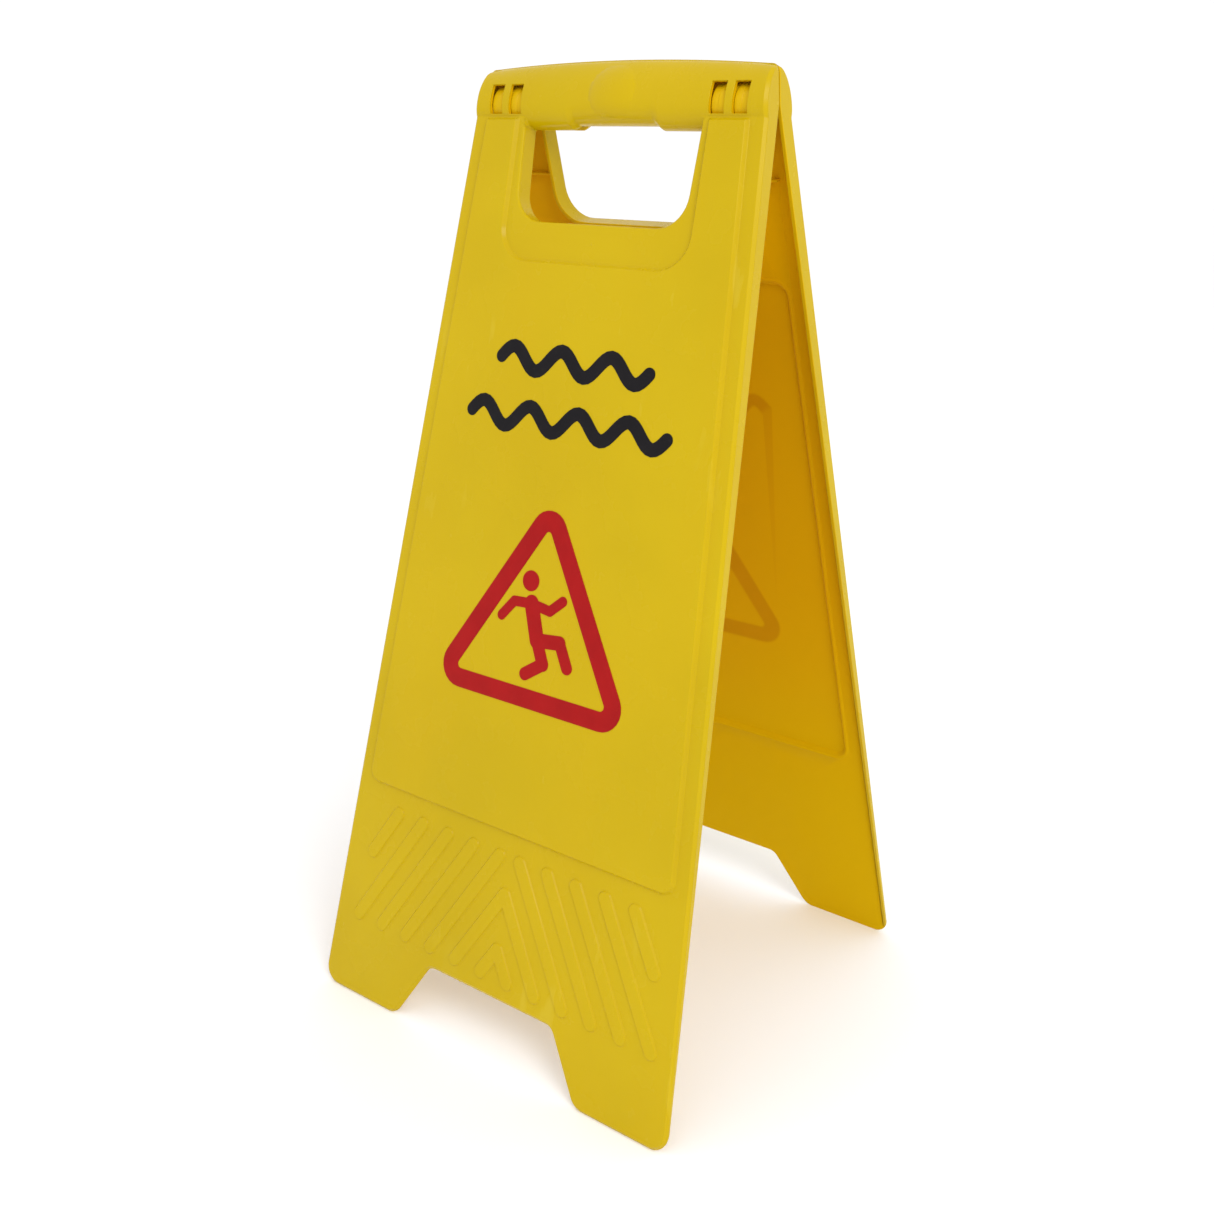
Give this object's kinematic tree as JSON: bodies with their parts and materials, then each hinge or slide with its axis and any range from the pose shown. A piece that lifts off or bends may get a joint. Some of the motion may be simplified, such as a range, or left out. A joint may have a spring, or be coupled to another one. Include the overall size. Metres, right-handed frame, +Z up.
{
  "type": "folding floor warning sign",
  "caption": "Two moulded panels hinged at the handle fold out into an A-frame that stands on a floor and carries a slip warning print on each side.",
  "frame": {"origin": "on the floor, midway between the four feet, with the sign standing open", "axes": "+Z up, +X along the sign's width and the hinge axis, the front panel faces -Y"},
  "size_m": [0.2988, 0.3048, 0.6206],
  "materials": {
    "yellow_shell": "satin moulded polypropylene",
    "hinge_pin": "plain drawn steel",
    "black_print": "screen-printed ink",
    "red_print": "screen-printed ink"
  },
  "bodies": {
    "front": {"front_panel": "yellow_shell", "hinge_pin_left": "hinge_pin", "hinge_pin_right": "hinge_pin", "front_wave_print": "black_print", "front_triangle_print": "red_print", "front_figure_print": "red_print"},
    "back": {"back_panel": "yellow_shell", "back_wave_print": "black_print", "back_triangle_print": "red_print", "back_figure_print": "red_print"}
  },
  "joints": [
    {"name": "fold", "type": "hinge", "parent": "front", "child": "back", "pos_m": [0, 0, 0.595], "axis": [-1, 0, 0], "range_deg": [0, 26.4]}
  ]
}
